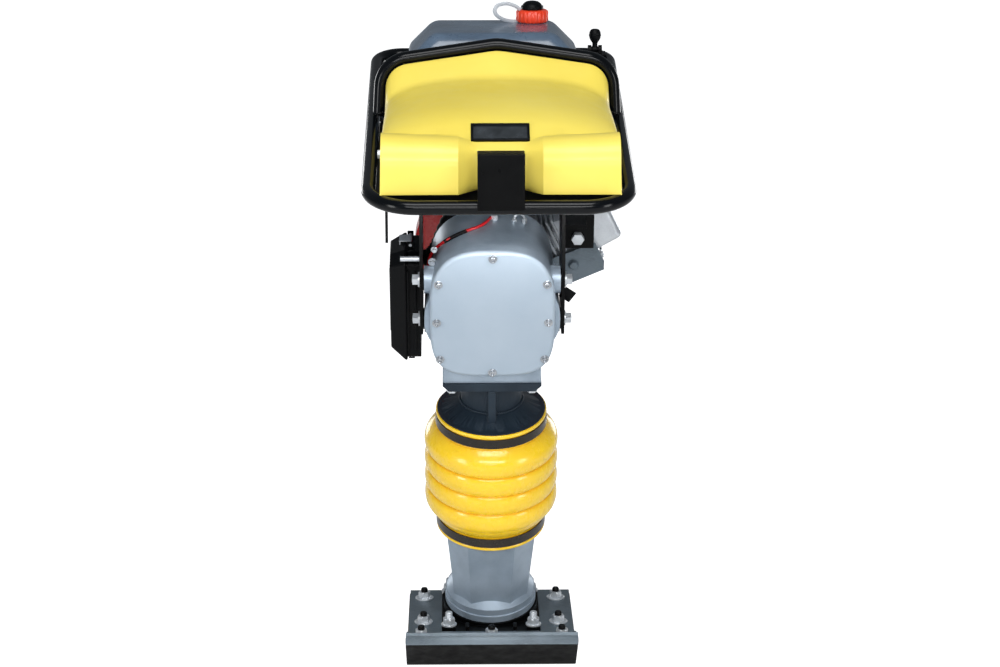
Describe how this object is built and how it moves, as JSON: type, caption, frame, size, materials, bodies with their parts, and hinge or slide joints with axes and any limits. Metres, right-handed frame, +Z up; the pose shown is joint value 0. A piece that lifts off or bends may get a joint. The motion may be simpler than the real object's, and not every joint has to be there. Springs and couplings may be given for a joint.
{
  "type": "jumping jack rammer",
  "caption": "Upright soil rammer: a steel shoe on a sprung ram under a folded bellows, driven through a clutch and crank by a petrol engine, with a looped handle, hood and fuel tank.",
  "frame": {"origin": "centre of the flat part of the sole's underside, on the ground", "axes": "+Z up, +Y to the operator's side with the engine and tank, +X to the right of someone who stands in front of the machine and looks along +Y at its crankcase cover"},
  "size_m": [0.4176, 0.6799, 1.091],
  "materials": {
    "black_steel": "gloss black paint over steel",
    "laminate": "dark laminated block, dull",
    "gray_steel": "bare steel plate, satin",
    "zinc": "bright zinc plating",
    "casting": "sand-cast alloy, matte with bright machined edges",
    "machined_steel": "ground steel",
    "yellow_rubber": "smooth yellow polyurethane, soft sheen",
    "lining": "sintered friction lining",
    "black_casting": "black painted alloy casting",
    "bronze": "plain bronze bush",
    "cover_alloy": "silver paint over a smooth casting",
    "red_paint": "red enamel",
    "rubber": "matte black rubber",
    "black_plastic": "black moulded plastic, fine grain",
    "yellow_plastic": "glossy yellow moulded hood",
    "tank_plastic": "milky blue-gray tank plastic",
    "orange_plastic": "orange moulded cap",
    "red_plastic": "red moulded lever",
    "red_wire": "red wire insulation"
  },
  "bodies": {
    "foot": {"sole_plate": "black_steel", "shoe_block": "laminate", "deck_plates": "gray_steel", "shoe_bolts": "black_steel", "shoe_nuts": "zinc", "foot_base": "black_steel", "foot_bolts": "zinc", "ram_housing": "casting", "spring_cylinder": "machined_steel", "spring_cap": "machined_steel", "ram_springs": "machined_steel", "lower_clamp": "black_steel", "bellows": "yellow_rubber"},
    "ram_rod": {"ram_piston": "machined_steel"},
    "con_rod": {"con_rod": "casting", "rod_pins": "machined_steel"},
    "power_unit": {"guide_cylinder": "black_casting", "guide_bush": "bronze", "upper_clamp": "black_steel", "crankcase": "casting", "crankcase_cover": "cover_alloy", "cover_screws": "zinc", "shaft_bearings": "machined_steel", "engine_bolts": "zinc", "engine_block": "casting", "cylinder_head": "casting", "valve_cover": "zinc", "cylinder_shroud": "gray_steel", "fan_cover": "red_paint", "muffler": "zinc", "carburettor": "casting", "intake_hose": "rubber", "air_filter_box": "black_plastic", "air_filter_lid": "black_plastic", "side_plates": "black_steel", "rubber_mounts": "rubber", "mount_bolts": "zinc", "handle_frame": "black_steel", "tank_straps": "black_steel", "front_bracket": "black_steel", "hood": "yellow_plastic", "hour_meter": "black_plastic", "fuel_tank": "tank_plastic", "throttle_clamp": "black_steel", "stop_wire": "red_wire"},
    "crank": {"crank_gear": "machined_steel"},
    "drum": {"clutch_drum": "machined_steel"},
    "engine_shaft": {"engine_crankshaft": "machined_steel", "flywheel_fan": "casting"},
    "shoe_left": {"clutch_shoe_left": "lining"},
    "shoe_right": {"clutch_shoe_right": "lining"},
    "clip_top": {"filter_clip_top": "zinc"},
    "clip_bottom": {"filter_clip_bottom": "zinc"},
    "grip": {"starter_grip": "black_plastic"},
    "carb_arm": {"throttle_arm": "zinc"},
    "choke": {"choke_lever": "black_plastic"},
    "cap": {"fuel_cap": "orange_plastic"},
    "knob": {"vent_knob": "black_plastic"},
    "cock": {"fuel_cock_lever": "red_plastic"},
    "throttle": {"throttle_lever": "black_plastic"}
  },
  "joints": [
    {"name": "ram_stroke", "type": "slide", "parent": "foot", "child": "power_unit", "axis": [0, -0.2588, 0.9659], "range_m": [0, 0.06], "deforming": ["bellows"]},
    {"name": "piston_travel", "type": "slide", "parent": "foot", "child": "ram_rod", "axis": [0, -0.2588, 0.9659], "range_m": [-0.01, 0.01], "stiffness_N_per_m": 60000, "deforming": ["ram_springs"]},
    {"name": "con_rod_swing", "type": "hinge", "parent": "ram_rod", "child": "con_rod", "pos_m": [0, -0.14441, 0.56996], "axis": [0, 0.9659, 0.2588], "range_deg": [-10.5, 10.5]},
    {"name": "crank_spin", "type": "hinge", "parent": "power_unit", "child": "crank", "pos_m": [0, -0.14941, 0.70839], "axis": [0, 0.9659, 0.2588], "continuous": true},
    {"name": "drum_spin", "type": "hinge", "parent": "power_unit", "child": "drum", "pos_m": [0, -0.12999, 0.63594], "axis": [0, 0.9659, 0.2588], "continuous": true},
    {"name": "engine_spin", "type": "hinge", "parent": "power_unit", "child": "engine_shaft", "pos_m": [0, 0.0062, 0.67244], "axis": [0, 0.9659, 0.2588], "continuous": true},
    {"name": "clutch_left_out", "type": "slide", "parent": "engine_shaft", "child": "shoe_left", "axis": [-1, 0, 0], "range_m": [0, 0.0015], "stiffness_N_per_m": 8000},
    {"name": "clutch_right_out", "type": "slide", "parent": "engine_shaft", "child": "shoe_right", "axis": [1, 0, 0], "range_m": [0, 0.0015], "stiffness_N_per_m": 8000},
    {"name": "starter_pull", "type": "slide", "parent": "power_unit", "child": "grip", "axis": [-0.2501, 0.9205, 0.3002], "range_m": [0, 0.45], "stiffness_N_per_m": 20},
    {"name": "throttle_turn", "type": "hinge", "parent": "power_unit", "child": "throttle", "pos_m": [0.182, 0.203, 0.9983], "axis": [1, 0, 0], "range_deg": [-30, 35]},
    {"name": "carb_arm_turn", "type": "hinge", "parent": "power_unit", "child": "carb_arm", "pos_m": [0.04, -0.01962, 0.82288], "axis": [0, -0.2588, 0.9659], "range_deg": [-30, 35]},
    {"name": "choke_turn", "type": "hinge", "parent": "power_unit", "child": "choke", "pos_m": [0.04, 0.00163, 0.82857], "axis": [0, -0.2588, 0.9659], "range_deg": [0, 60]},
    {"name": "cap_turn", "type": "hinge", "parent": "power_unit", "child": "cap", "pos_m": [0.072, 0.125, 1.066], "axis": [0, 0, 1], "range_deg": [0, 540]},
    {"name": "vent_turn", "type": "hinge", "parent": "cap", "child": "knob", "pos_m": [0.072, 0.125, 1.085], "axis": [0, 0, 1], "range_deg": [0, 90]},
    {"name": "fuel_cock_turn", "type": "hinge", "parent": "power_unit", "child": "cock", "pos_m": [-0.074, 0.065, 0.888], "axis": [1, 0, 0], "range_deg": [0, 90]},
    {"name": "clip_top_turn", "type": "hinge", "parent": "power_unit", "child": "clip_top", "pos_m": [-0.13, -0.11375, 0.73761], "axis": [0, 0.9659, 0.2588], "range_deg": [0, 100]},
    {"name": "clip_bottom_turn", "type": "hinge", "parent": "power_unit", "child": "clip_bottom", "pos_m": [-0.13, -0.0607, 0.53959], "axis": [0, -0.9659, -0.2588], "range_deg": [0, 100]}
  ],
  "couplings": [
    {"joint": "drum_spin", "follows": "crank_spin", "ratio": -4},
    {"joint": "carb_arm_turn", "follows": "throttle_turn", "ratio": 1}
  ]
}
